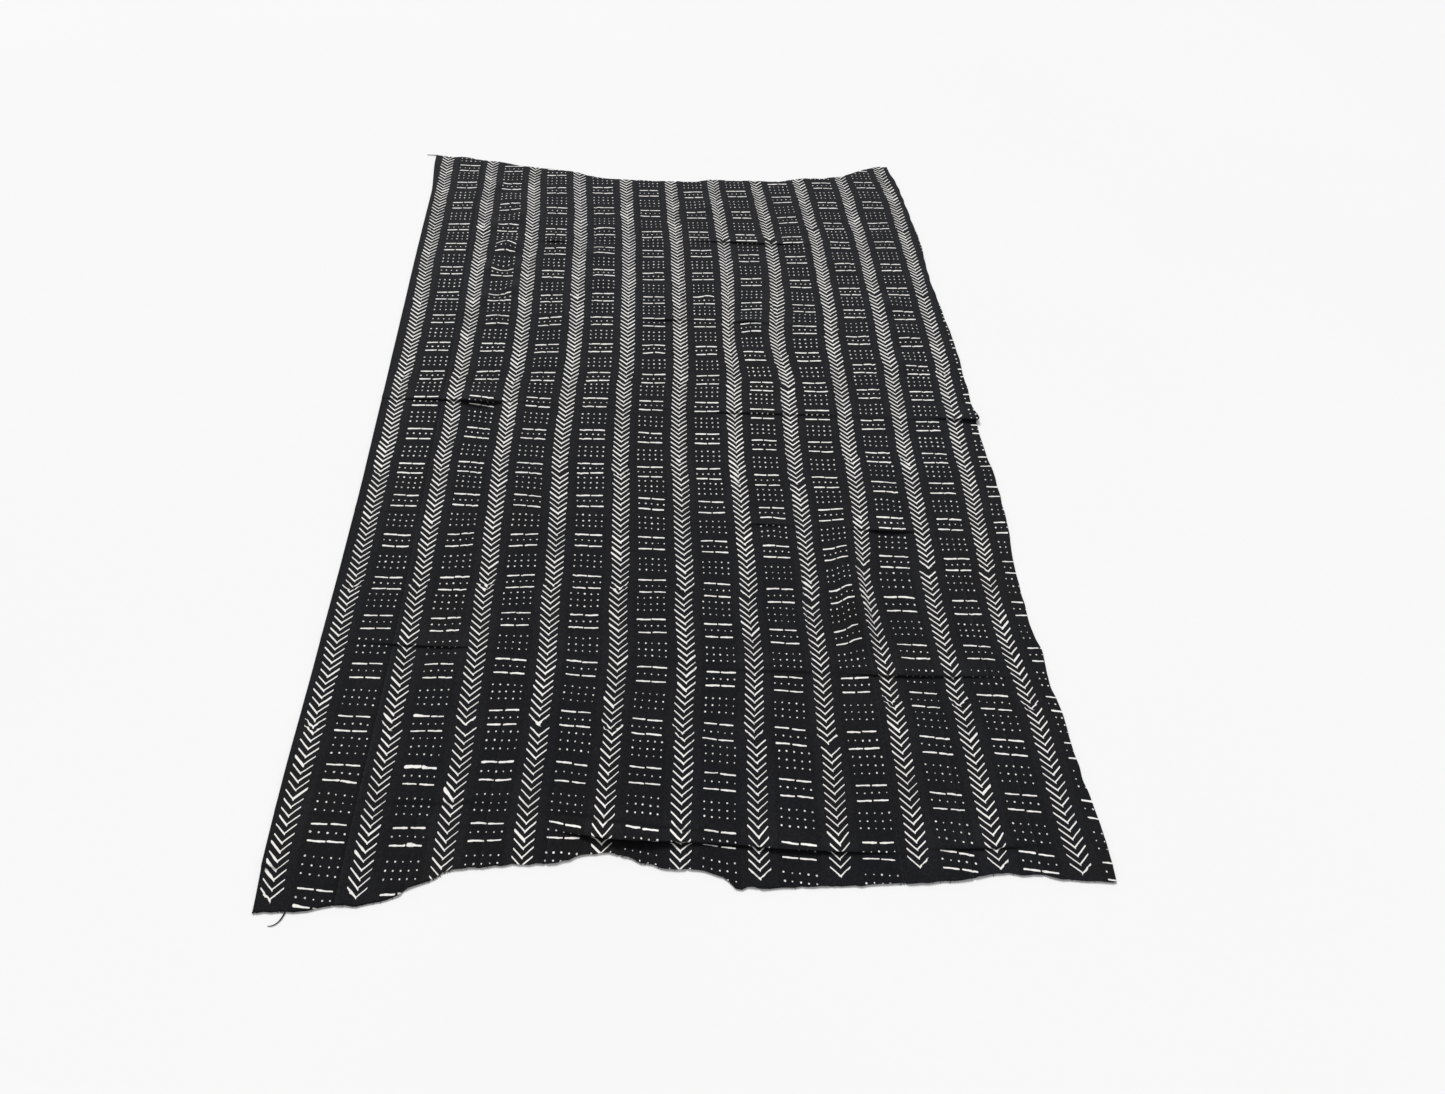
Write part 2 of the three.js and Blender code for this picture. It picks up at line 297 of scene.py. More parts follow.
# Accidents of the brush, where a stroke ran wide.
SMEARS = entries(
    "across along size",
    (172, 181, 8), (192, 181, 6), (196, 79, 6), (126, 14, 9), (128, 70, 7), (232, 150, 7),
    (12, 60, 8), (16, 48, 7), (168, 261, 5), (28, 247, 8), (130, 258, 6), (60, 6, 6),
    (348, 243, 6), (770, 478, 7), (452, 470, 6), (560, 745, 6), (240, 478, 6), (876, 610, 7),
    (985, 735, 6), (664, 712, 6), (138, 1182, 7), (132, 1440, 7), (350, 1200, 6),
)

# Fineness of the modelled sheets
CELLS_ACROSS = 16
SELVEDGE_STEPS = (0, 0.9, 2.8, 6)  # columns of faces crowd towards a strip's edges
ROWS_BETWEEN_FOLDS = (30, 85, 82, 84, 80, 86, 112)
ROWS_AT_FOLD = (
    -14, -12, -10.5, -9, -7.8, -6.6, -5.4, -4.2, -3, -1.8, -0.6, 0.6, 1.8,
    3.2, 4.8, 6.6, 8.6, 10.8, 13.2, 16, 19, 23, 28, 34, 40, 46,
)


def smooth(share):
    share = np.clip(share, 0, 1)
    return share * share * (3 - 2 * share)


def read(table, place, value, at):
    """One column of a table at any place, on a smooth curve that never overshoots its rows."""
    places, values = table[place], table[value]
    slopes = np.concatenate([[0], np.diff(values) / np.diff(places), [0]])
    product = slopes[:-1] * slopes[1:]
    total = slopes[:-1] + slopes[1:]
    bends = np.where(product > 0, 2 * product / np.where(total == 0, 1, total), 0)
    i = np.clip(np.searchsorted(places, at) - 1, 0, len(places) - 2)
    span = places[i + 1] - places[i]
    t = np.clip((at - places[i]) / span, 0, 1)
    leave, arrive = bends[i] * span, bends[i + 1] * span
    step = values[i + 1] - values[i]
    return values[i] + t * (
        leave + t * (3 * step - 2 * leave - arrive + t * (leave + arrive - 2 * step))
    )


def unevenness(u, v, cell_u, cell_v, seed):
    """Smooth seeded noise from -1 to 1, with one random value for each cell."""
    size = 211
    lattice = np.random.default_rng(seed).uniform(-1, 1, (size, size))
    x, y = u / cell_u + size / 3, v / cell_v + size / 3
    i, j = np.floor(x).astype(int), np.floor(y).astype(int)
    s, t = smooth(x - i), smooth(y - j)
    i, j = i % (size - 1), j % (size - 1)
    near = lattice[i, j] * (1 - s) + lattice[i + 1, j] * s
    far = lattice[i, j + 1] * (1 - s) + lattice[i + 1, j + 1] * s
    return near * (1 - t) + far * t


def wavering(edge, place, wavers):
    """The edge with its small wavers added."""
    for waver in wavers:
        stray = unevenness(place, place, waver["short"], waver["long"], waver["seed"])
        edge = edge + waver["reach"] * stray
    return edge


def cross_place(across, along):
    """X of a point of the cloth: a parabola through the three painted lines."""
    first = read(SWAY, "along", "first", along)
    middle = read(SWAY, "along", "middle", along)
    last = read(SWAY, "along", "last", along)
    t = (across - MIDDLE_COLUMN) / (LAST_COLUMN - MIDDLE_COLUMN)
    return middle + ((last - first) * t + (last + first - 2 * middle) * t * t) / 2 - BOX_MIDDLE_X


def left_selvedge(along):
    return FIRST_COLUMN - (
        read(SWAY, "along", "first", along) - read(SWAY, "along", "left_edge", along)
    )


def right_selvedge(along):
    edge = LAST_COLUMN + read(RIGHT_EDGE, "along", "x", along) - read(SWAY, "along", "last", along)
    return wavering(edge, along, SELVEDGE_WAVERS)


def fold_place(fold, across):
    line = FOLD_LINES[fold]
    return line["left"] + (line["right"] - line["left"]) * across / CLOTH_WIDTH


def swell(at, form):
    """Swells from one end to the peak and sinks to the other end."""
    rising = smooth((at - form["from"]) / (form["peak"] - form["from"]))
    sinking = smooth((form["to"] - at) / (form["to"] - form["peak"]))
    return np.where(at < form["peak"], rising, sinking)


def hill(distance, near_side, far_side):
    """A soft hill: 1 on the crest, 0 past each foot."""
    share = np.minimum(np.abs(distance) / np.where(distance < 0, near_side, far_side), 1)
    return (1 + np.cos(np.pi * share)) / 2


def mound(form, across, along):
    """1 at the middle of a form, and 0 past its half width and half length."""
    side = hill(across - form["across"], form["half_width"], form["half_width"])
    ends = hill(along - form["along"], form["half_length"], form["half_length"])
    return side * ends


def crease_distance(crease, across, along):
    """How far a place lies behind a crease's line."""
    share = (across - crease["from"]) / (crease["to"] - crease["from"])
    return along - crease["from_at"] - (crease["to_at"] - crease["from_at"]) * share


def relief(across, along):
    """How far the cloth's underside stands off the floor, and how far it rolls over there."""
    height = np.zeros_like(along)
    lean = np.zeros_like(along)
    for crease in CREASES:
        distance = crease_distance(crease, across, along)
        shape = swell(across, crease) * hill(distance, crease["front"], crease["back"])
        height += crease["rise"] * shape
        lean += crease["lean"] * shape
    for ridge in SEAM_RIDGES:
        side = hill(across - ridge["across"], ridge["left"], ridge["right"])
        height += ridge["rise"] * swell(along, ridge) * side
    for puff in PUFFS:
        height += puff["rise"] * mound(puff, across, along)
    return height, lean


def tucked_away(across, along):
    """The pattern's own place along the cloth: some of it is hidden inside the main fold."""
    fold = CREASES[0]
    start, end = FOLD_MOUTH
    before = 1 - smooth((crease_distance(fold, across, along) - start) / (end - start))
    return along - HIDDEN_IN_FOLD * swell(across, fold) * before


def crease_shade(across, along):
    """How dark the painted shade makes the cloth under the lip of each crease, from 0 to 1."""
    shade = np.zeros_like(along)
    for crease in CREASES:
        distance = crease_distance(crease, across, along) + SHADE_LINE * crease["front"]
        reach = 1.0 + SHADE_REACH * crease["front"]
        dark = crease["shade"] * swell(across, crease) * np.exp(-(distance / reach) ** 2)
        shade = np.maximum(shade, dark)
    return shade


def fine_relief(across, along):
    """Low unevenness over the whole cloth: loose weaving, seam puckers and old fold lines."""
    loose = LOOSE_WEAVE * (1 + unevenness(across, along, 70, 110, seed=3))
    loose += CLOSE_WEAVE * (1 + unevenness(across, along, 26, 38, seed=4))
    beside = np.min([np.abs(across - seam) for seam in SEAMS], axis=0)
    pucker = SEAM_PUCKER * (1 + unevenness(across, along, 30, 14, seed=5))
    pucker = pucker * np.exp(-((beside - PUCKER_PLACE) / PUCKER_PLACE) ** 2)
    height = (loose + pucker) * smooth(beside / 5 + 0.25)
    kept = (1.2 + unevenness(across, along, 60, 300, seed=7)) / 2.2
    stray = 3 * unevenness(across, along, 90, 400, seed=6)
    for fold in range(len(FOLD_LINES)):
        away = along - fold_place(fold, across) - stray
        height += FOLD_LINE_RISE * hill(away, 5, 14) * kept
    return height


def upper_face(across, along):
    """A point of the cloth's upper face, in millimetres."""
    height, lean = relief(across, along)
    height = height + fine_relief(across, along)
    x = cross_place(across, along)
    y = along - CLOTH_LENGTH / 2 - lean
    return x, y, height + CLOTH_THICKNESS


def row_places(across):
    """Where the rows of faces cross the cloth, for each place across: crowded at the folds."""
    near = wavering(read(NEAR_END, "across", "inside", across), across, NEAR_WAVERS)
    far = CLOTH_LENGTH - read(FAR_END, "across", "inside", across)
    far = wavering(far, across, FAR_WAVERS)
    rows = [near]
    for fold, count in enumerate(ROWS_BETWEEN_FOLDS):
        last = fold == len(FOLD_LINES)
        start = rows[-1]
        end = far if last else fold_place(fold, across) + ROWS_AT_FOLD[0]
        rows += [start + (end - start) * step / count for step in range(1, count + 1)]
        if not last:
            rows += [fold_place(fold, across) + step for step in ROWS_AT_FOLD[1:]]
    return np.array(rows)


def strip_shares(width):
    """Places of the columns of faces over a strip, from 0 to 1, with fine ones at the edges."""
    edge = [step / width for step in SELVEDGE_STEPS]
    inner = CELLS_ACROSS - 2 * (len(edge) - 1)
    middle = [edge[-1] + (1 - 2 * edge[-1]) * step / inner for step in range(1, inner)]
    return np.array(edge + middle + [1 - share for share in reversed(edge)])


def column_name(column):
    """The name of a column in the tables. The outermost ones serve the selvedges too."""
    names = COLUMN_NAMES.split()
    return names[min(max(column, 0), len(names) - 1)]


def printing_starts(column):
    """Where the printings start along a column, which may lie between two numbered ones."""
    block = FIRST_BLOCK if column < FIRST_BLOCK_COLUMNS else SECOND_BLOCK
    places = list(block.values())
    printings = zip(*(PRINTINGS[name] for name in block))
    return np.array([np.interp(column, places, starts) for starts in printings])


def chevron_tips(column, tip):
    """The paint map's place of a chevron whose tip lies there, and the printings' shift."""
    name = column_name(column)
    starts = printing_starts(column) + CHEVRON_STARTS[name]
    knots, paint = [], []
    for n, gap in enumerate(CHEVRON_GAPS[name]):
        reach = min(ROW_REACH, 0.45 * gap)
        first = n * CHEVRONS_PER_PRINTING * PAINT_PITCH
        following = first + CHEVRONS_PER_PRINTING * PAINT_PITCH
        knots += [starts[n], starts[n + 1] - gap, starts[n + 1] - gap + reach, starts[n + 1] - reach]
        paint += [first, following - PAINT_PITCH, following - PAINT_PITCH + reach, following - reach]
    n = np.clip(np.searchsorted(starts, tip + PAINT_PITCH / 2) - 1, 0, len(starts) - 1)
    lowest = np.interp(max(starts[1] - PAINT_PITCH / 2, BARE_NEAR_END), knots, paint)
    lowest = (math.floor(lowest / PAINT_PITCH) + 0.5) * PAINT_PITCH
    return np.maximum(np.interp(tip, knots, paint), lowest), PRINTINGS["sideways"][n]


def block_rows(column, beside, across, along):
    """The paint map's place along a column of dashes and dots, and the printings' shift."""
    starts = printing_starts(column + 0.5)
    knots, paint = [], []
    row = 0
    for start, following in zip(starts[:-1], starts[1:]):
        scale = (following - start) / PRINTING_LENGTH
        for place in ROW_PLACES:
            middle = start + place * scale
            knots += [middle - ROW_REACH, middle + ROW_REACH]
            paint += [row * PAINT_PITCH - ROW_REACH, row * PAINT_PITCH + ROW_REACH]
            row += 1
    slant = read(DASH_SLANTS, "along", ASKEW_BLOCKS.get(column, "usual"), along)
    slant = slant + 0.02 * unevenness(across, along, 106, 60, seed=12)
    rise = slant * beside + 0.8 * unevenness(across, along, 24, 60, seed=13)
    rise += read(ROW_PULLS, "along", column_name(column), along)
    for bend in ROW_BENDS:
        if bend["block"] == column:
            rise += bend["rise"] * mound(bend, beside, along)
    straight = np.maximum(along - rise, starts[1] - PAINT_PITCH / 2)
    n = np.clip(np.searchsorted(starts, straight + PAINT_PITCH / 2) - 1, 0, len(starts) - 1)
    return np.interp(straight, knots, paint), PRINTINGS["sideways"][n]


def sideways_drift(across, along):
    drift = 0.9 * unevenness(across, along, 60, 90, seed=14)
    for area in DRIFTS:
        drift += area["sideways"] * mound(area, across, along)
    return drift


def paint_map(across, along):
    """Where each point lies on the printed pattern, in millimetres, as four named values.

    The first counts across the cloth. The others count along it: on the slant of the chevrons'
    left arms, on the slant of their right arms, and along the rows of dashes and dots.
    """
    u = across - sideways_drift(across, along)
    along = tucked_away(across, along)
    column = np.floor((u - FIRST_COLUMN) / COLUMN_PITCH + 0.5).astype(int)
    beside = u - FIRST_COLUMN - column * COLUMN_PITCH
    block = np.floor((u - FIRST_COLUMN) / COLUMN_PITCH).astype(int)
    beside_block = u - FIRST_COLUMN - (block + 0.5) * COLUMN_PITCH
    left, right, rows, shift, block_shift = (np.zeros_like(along) for _ in range(5))
    for k in np.unique(column):
        here = column == k
        _, shift[here] = chevron_tips(k, along[here] - np.abs(beside[here]))
        moved = beside[here] + shift[here]
        left[here], _ = chevron_tips(k, along[here] + moved)
        right[here], _ = chevron_tips(k, along[here] - moved)
    for k in np.unique(block):
        here = block == k
        place = beside_block[here], across[here], along[here]
        rows[here], block_shift[here] = block_rows(k, *place)
    shift = np.where(np.abs(beside) < MARGIN_MIDDLE, shift, block_shift)
    return {"pattern_across": u + shift, "left_arms": left, "right_arms": right, "rows": rows}


def smear_depth(across, along):
    depth = np.zeros_like(along)
    for smear in SMEARS:
        away = np.hypot(across - smear["across"], along - smear["along"])
        depth = np.maximum(depth, np.clip(1 - away / (2 * smear["size"]), 0, 1))
    return depth


def mesh_from(bm, name):
    mesh = bpy.data.meshes.new(name)
    bm.to_mesh(mesh)
    bm.free()
    return mesh


def points_of(mesh):
    """The points of a mesh, one in each row."""
    places = np.empty(len(mesh.vertices) * 3)
    mesh.vertices.foreach_get("co", places)
    return places.reshape(-1, 3)


def place_in_scene(name, data):
    obj = bpy.data.objects.new(name, data)
    bpy.context.collection.objects.link(obj)
    return obj


def finish_piece(obj, material):
    obj.data.materials.append(material)
    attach(obj, "root")
    return obj


def print_on(mesh, across, along):
    """Gives a piece's points their places on the cloth and on its printed pattern."""
    corners = np.empty(len(mesh.loops), int)
    mesh.loops.foreach_get("vertex_index", corners)
    layer = mesh.uv_layers.new(name="cloth")
    layer.uv.foreach_set("vector", np.stack([across[corners], along[corners]], axis=1).ravel())
    values = paint_map(across, along)
    values["smear"] = smear_depth(across, along)
    values["crease_shade"] = crease_shade(across, along)
    for name, value in values.items():
        mesh.attributes.new(name, "FLOAT", "POINT").data.foreach_set("value", value)
    mesh.shade_smooth()
    mesh.update()


def strip_sides(index, along):
    """Where a strip's left and right sides lie: on a seam, or on a selvedge of the cloth."""
    last = index == STRIP_COUNT - 1
    left = SEAMS[index - 1] + 0 * along if index else left_selvedge(along)
    right = right_selvedge(along) if last else SEAMS[index] + 0 * along
    return left, right


def woven_strip(index, material):
    """One strip as a fine closed sheet that stands for its solid."""
    left, right = (side[0] for side in strip_sides(index, np.full(1, CLOTH_LENGTH / 2)))
    width = right - left
    shares = strip_shares(width)
    rows = row_places(left + width * shares)

    bm = bmesh.new()
    bmesh.ops.create_grid(bm, x_segments=CELLS_ACROSS, y_segments=len(rows) - 1, size=1)
    mesh = mesh_from(bm, f"woven_{index + 1:02d}")

    flat = points_of(mesh)
    column = np.rint((flat[:, 0] + 1) / 2 * CELLS_ACROSS).astype(int)
    row = np.rint((flat[:, 1] + 1) / 2 * (len(rows) - 1)).astype(int)
    along = rows[row, column]
    left, right = strip_sides(index, along)
    across = left + (right - left) * shares[column]
    places = np.stack(upper_face(across, along), axis=1) * MM
    mesh.vertices.foreach_set("co", places.ravel())

    print_on(mesh, across, along)

    strip = place_in_scene(mesh.name, mesh)
    depth = strip.modifiers.new("thickness", "SOLIDIFY")
    depth.thickness = CLOTH_THICKNESS * MM
    depth.offset = -1
    depth.use_even_offset = False
    finish_piece(strip, material)
    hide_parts(f"strip_{index + 1:02d}")
    length = float(np.mean(rows[-1] - rows[0]))
    return strip, (width * MM, length * MM)


def sum_method(operation):
    """A method that puts one more math node behind a wire."""
    def method(self, *others):
        return self.math(operation, *others)
    return method


class Wire:
    """A number on its way through a material's nodes, so that a sum is written as a sum."""

    __add__ = sum_method("ADD")
    __sub__ = sum_method("SUBTRACT")
    __mul__ = sum_method("MULTIPLY")
    __truediv__ = sum_method("DIVIDE")
    size = sum_method("ABSOLUTE")
    floor = sum_method("FLOOR")
    nearest = sum_method("ROUND")
    larger = sum_method("MAXIMUM")
    smaller = sum_method("MINIMUM")
    remainder = sum_method("FLOORED_MODULO")
    sine = sum_method("SINE")
    root = sum_method("SQRT")
    over = sum_method("GREATER_THAN")
    about = sum_method("COMPARE")

    def __init__(self, tree, socket):
        self.tree, self.socket = tree, socket

    def math(self, operation, *others):
        node = self.tree.nodes.new("ShaderNodeMath")
        node.operation = operation
        for place, value in enumerate((self, *others)):
            if isinstance(value, Wire):
                self.tree.links.new(value.socket, node.inputs[place])
            else:
                node.inputs[place].default_value = value
        return Wire(self.tree, node.outputs[0])

    def __neg__(self):
        return self * -1

    def flipped(self):
        """1 becomes 0 and 0 becomes 1."""
        return self * -1 + 1

    def fade(self, start, end):
        """Goes softly from 0 at start to 1 at end."""
        node = self.tree.nodes.new("ShaderNodeMapRange")
        node.interpolation_type = "SMOOTHSTEP"
        self.tree.links.new(self.socket, node.inputs["Value"])
        for name, value in (("From Min", start), ("From Max", end)):
            if isinstance(value, Wire):
                self.tree.links.new(value.socket, node.inputs[name])
            else:
                node.inputs[name].default_value = value
        return Wire(self.tree, node.outputs["Result"])


def distance(a, b):
    return (a * a + b * b).root()


class Bench:
    """The nodes of one material, with short names for what its recipes need."""

    def __init__(self, name):
        self.material = bpy.data.materials.new(name)
        self.material.use_nodes = True
        self.tree = self.material.node_tree
        self.shader = self.tree.nodes["Principled BSDF"]

    def node(self, kind, **settings):
        node = self.tree.nodes.new(kind)
        for name, value in settings.items():
            setattr(node, name, value)
        return node

    def join(self, source, target):
        self.tree.links.new(source.socket if isinstance(source, Wire) else source, target)

    def set(self, node, **values):
        """Sets a node's inputs. A _ in a name stands for the space in it."""
        for name, value in values.items():
            node.inputs[name.replace("_", " ")].default_value = value

    def raise_relief(self, height, strength, depth):
        """Relief that only the light shows, depth in millimetres."""
        node = self.node("ShaderNodeBump")
        self.set(node, Strength=strength, Distance=depth * MM)
        self.join(height, node.inputs["Height"])
        self.join(node.outputs[0], self.shader.inputs["Normal"])

    def map_place(self, name):
        """U and V of a piece's own UV map."""
        split = self.node("ShaderNodeSeparateXYZ")
        self.join(self.node("ShaderNodeUVMap", uv_map=name).outputs[0], split.inputs[0])
        return Wire(self.tree, split.outputs[0]), Wire(self.tree, split.outputs[1])

    def attribute(self, name):
        node = self.node("ShaderNodeAttribute", attribute_name=name)
        return Wire(self.tree, node.outputs["Fac"])

    def point(self, x, y, z=0.0):
        """A place in a texture. On the cloth, z only tells one texture apart from the next."""
        node = self.node("ShaderNodeCombineXYZ")
        for value, socket in zip((x, y, z), node.inputs):
            if isinstance(value, Wire):
                self.join(value, socket)
            else:
                socket.default_value = value
        return node.outputs[0]

    def noise(self, point, scale, detail=2.0, roughness=0.5):
        """Noise from about -1 to 1."""
        node = self.node("ShaderNodeTexNoise", noise_dimensions="3D")
        self.join(point, node.inputs["Vector"])
        self.set(node, Scale=scale, Detail=detail, Roughness=roughness)
        return (Wire(self.tree, node.outputs["Fac"]) - 0.5) * 2

    def luck(self, x, y, z):
        """Three random numbers from -1 to 1 for each x and y. z tells apart what they serve."""
        node = self.node("ShaderNodeTexWhiteNoise", noise_dimensions="3D")
        self.join(self.point(x, y, z), node.inputs["Vector"])
        split = self.node("ShaderNodeSeparateColor")
        self.join(node.outputs["Color"], split.inputs[0])
        return [(Wire(self.tree, output) - 0.5) * 2 for output in split.outputs]

    def blend(self, share, first, second):
        """Goes from the first colour to the second as share goes from 0 to 1."""
        node = self.node("ShaderNodeMix", data_type="RGBA")
        sockets = node.inputs[0], node.inputs[6], node.inputs[7]
        for value, socket in zip((share, first, second), sockets):
            if isinstance(value, (Wire, bpy.types.NodeSocket)):
                self.join(value, socket)
            else:
                socket.default_value = value
        return node.outputs[2]


# Sizes of the painted marks
CHEVRON_REACH = 13.5  # of one arm, sideways
CHEVRON_HALF_STROKE = 0.86
CHEVRON_HALF_WIDTH = 20
LEFT_ARM_SLOPE = 0.96
RIGHT_ARM_SLOPE = 0.88
LEFT_ARM_OVERSHOOT = 0.5  # past the tip
RIGHT_ARM_OVERSHOOT = -0.2
LEFT_ARM_FULLER = 0.14  # than the right arm
ARM_LENGTHENING = 1.35  # an arm's length for each millimetre sideways
ARM_NARROWING = 0.72  # an arm's width for each millimetre along the cloth
ARM_TAPER = 0.012  # for each millimetre sideways
RUN_WIDE = 0.88  # strokes with more luck than this ran wide
WIDEST_HALF_STROKE = 3.2
DASH_HALF_STROKE = 1.0
DASH_HALF_LENGTH = 10.6
DASH_MIDDLE = 11.9
DOT_PITCH = 10.6
DOT_RADIUS = 1.08
BLOCK_HALF_WIDTH = 26
DOTS_EACH_SIDE = 2  # of the middle dot of a row
FULLER_BRUSH = 0.32  # added to every mark past the near third of the cloth
DRIER_FAR_BRUSH = 0.12  # taken off every mark towards the far end
LOADED_BRUSH = 0.3  # more or less from place to place
MARK_EDGE = 0.25  # over which paint fades into dye
BARE_LEFT_MARGIN = (5, 7)  # over which the marks fade in
THREAD_PITCH = 0.95


def stroke(from_middle, half_length, aside, half_stroke):
    """1 inside a brush stroke with round ends, 0 outside. aside counts from its middle line."""
    beyond = (from_middle.size() - half_length).larger(0)
    return (distance(beyond, aside) - half_stroke).fade(MARK_EDGE, -MARK_EDGE)


def chevron_arm(bench, column, outwards, tip, wide, hand):
    """One arm of every chevron. hand is -1 for the left arm and 1 for the right one."""
    number = (tip / PAINT_PITCH).nearest()
    lift, reach, weight = bench.luck(column, number, 3.7 * hand)
    lean, start, _ = bench.luck(column, number, 9.1 * hand)
    slope = LEFT_ARM_SLOPE if hand < 0 else RIGHT_ARM_SLOPE
    aside = tip - number * PAINT_PITCH + lift * 0.5 + outwards * (1 - slope)
    aside = (aside + lean * 0.05 * (outwards - CHEVRON_REACH / 2)) * ARM_NARROWING
    overshoot = LEFT_ARM_OVERSHOOT if hand < 0 else RIGHT_ARM_OVERSHOOT
    length = (reach + start * 0.6 + CHEVRON_REACH + overshoot) / 2
    from_middle = (outwards + overshoot - length) * ARM_LENGTHENING
    fuller_arm = LEFT_ARM_FULLER if hand < 0 else 0.0
    run_wide = (weight - RUN_WIDE).larger(0) * 5
    half = weight * 0.2 + CHEVRON_HALF_STROKE + fuller_arm + run_wide + wide - outwards * ARM_TAPER
    return stroke(from_middle, length * ARM_LENGTHENING, aside, half.smaller(WIDEST_HALF_STROKE))


def chevron_marks(bench, u, left_tips, right_tips, wide, fuller):
    """Columns of chevrons. wide is a smear, fuller a fuller brush."""
    column = ((u - FIRST_COLUMN) / COLUMN_PITCH).nearest()
    beside = u - FIRST_COLUMN - column * COLUMN_PITCH
    left = chevron_arm(bench, column, -beside, left_tips, wide + fuller, -1)
    right = chevron_arm(bench, column, beside, right_tips, wide * 0.3 + fuller, 1)
    within = (beside.size() - CHEVRON_HALF_WIDTH).fade(0.5, -0.5)
    return left.larger(right) * within


def block_marks(bench, u, paint, wide, fuller):
    """Rows of two dashes and rows of five dots."""
    block = ((u - FIRST_COLUMN) / COLUMN_PITCH).floor()
    beside = u - FIRST_COLUMN - COLUMN_PITCH / 2 - block * COLUMN_PITCH
    row = (paint / PAINT_PITCH).nearest()
    off_row = paint - row * PAINT_PITCH
    in_set = row.remainder(6)
    dashed = (in_set - 1).size().about(1, 0.1)

    right_half = beside.over(0)
    lift, shift, weight = bench.luck(block, row, right_half + 20.5)
    tilt, length, swell_place = bench.luck(block, row, right_half + 31.5)
    from_middle = beside.size() - DASH_MIDDLE + shift * 0.5
    swollen = (from_middle - swell_place * 8).size().fade(5, 0) * 0.3
    dash = stroke(
        from_middle,
        length * 0.9 + DASH_HALF_LENGTH - DASH_HALF_STROKE,
        off_row + lift * 0.5 + tilt * 0.03 * from_middle - wide * 0.6,
        weight * 0.22 + DASH_HALF_STROKE + swollen + wide + fuller,
    )

    number = (beside / DOT_PITCH).nearest().larger(-DOTS_EACH_SIDE).smaller(DOTS_EACH_SIDE)
    aside, up, big = bench.luck(block * 7 + number, row, 42.5)
    faint, _, _ = bench.luck(block * 7 + number, row, 55.5)
    across_dot = beside - number * DOT_PITCH + aside * 0.5
    radius = big * 0.28 + DOT_RADIUS + fuller * 1.3
    dot = (distance(across_dot, off_row + up * 0.5) - radius).fade(MARK_EDGE, -MARK_EDGE * 1.4)
    dot = dot * (faint * 0.3 + 0.85).smaller(1)

    within = (beside.size() - BLOCK_HALF_WIDTH).fade(0.5, -0.5)
    return (dash * dashed + dot * dashed.flipped()) * within


def weave(across, along, pitch):
    """Height of a plain weave, from 0 between threads to 1 on top of them."""
    turn = math.pi / pitch
    warp = (across * turn).sine()
    weft = (along * turn).sine()
    over = warp * weft
    return (over * 0.5 + 0.5) * 0.35 + warp.size() * 0.4 + weft.size() * 0.25


def printed_marks(bench, across, along, u, thread_edge, loaded):
    """Where the cloth has its pale marks. Their edges waver and follow single threads."""
    waver_along = bench.noise(bench.point(across, along, 19.0), 0.11, 1.0)
    up = waver_along * 0.6 + thread_edge * 0.4
    smear = bench.attribute("smear").fade(0.1, 0.8)
    wide = smear * (bench.noise(bench.point(across, along), 0.25, 2.0) * 0.5 + 1.2)
    fuller = along.fade(250, 950) * FULLER_BRUSH - along.fade(1150, 1500) * DRIER_FAR_BRUSH
    fuller = fuller + loaded * LOADED_BRUSH
    left_tips = bench.attribute("left_arms") + up
    right_tips = bench.attribute("right_arms") + up
    chevrons = chevron_marks(bench, u, left_tips, right_tips, wide, fuller)
    blocks = block_marks(bench, u, bench.attribute("rows") + up, wide, fuller)
    return chevrons.larger(blocks) * across.fade(*BARE_LEFT_MARGIN)


def black_dye(bench, across, along, u):
    """Colour of the dye: blue-black to brown-black, with dusty streaks along the threads."""
    blue_black = (0.0034, 0.0036, 0.0050, 1)
    brown_black = (0.0044, 0.0040, 0.0037, 1)
    dusty = (0.0238, 0.0242, 0.0282, 1)
    tone = bench.noise(bench.point(across, along, 71.0), 0.0075, 3.0, 0.55)
    dye = bench.blend((tone * 1.3 + 0.45).fade(0, 1), blue_black, brown_black)
    haze = bench.noise(bench.point(across, along * 0.5, 83.0), 0.02, 4.0, 0.65)
    beside = ((u - FIRST_COLUMN) / COLUMN_PITCH).remainder(1.0) - 0.5
    in_margin = (beside.size() * COLUMN_PITCH - BLOCK_HALF_WIDTH - 2).fade(-1.5, 2.5)
    warp_streaks = bench.noise(bench.point(across * 0.75, along * 0.16, 97.0), 1.0, 2.0)
    weft_streaks = bench.noise(bench.point(across * 0.16, along * 0.75, 101.0), 1.0, 2.0)
    mottled = (warp_streaks + weft_streaks).fade(-0.5, 0.9) * 0.5
    dusted = (haze.fade(-0.2, 1.1) * 0.4 + in_margin * 0.12 + mottled - 0.12).larger(0)
    return bench.blend(dusted.smaller(1), dye, dusty)


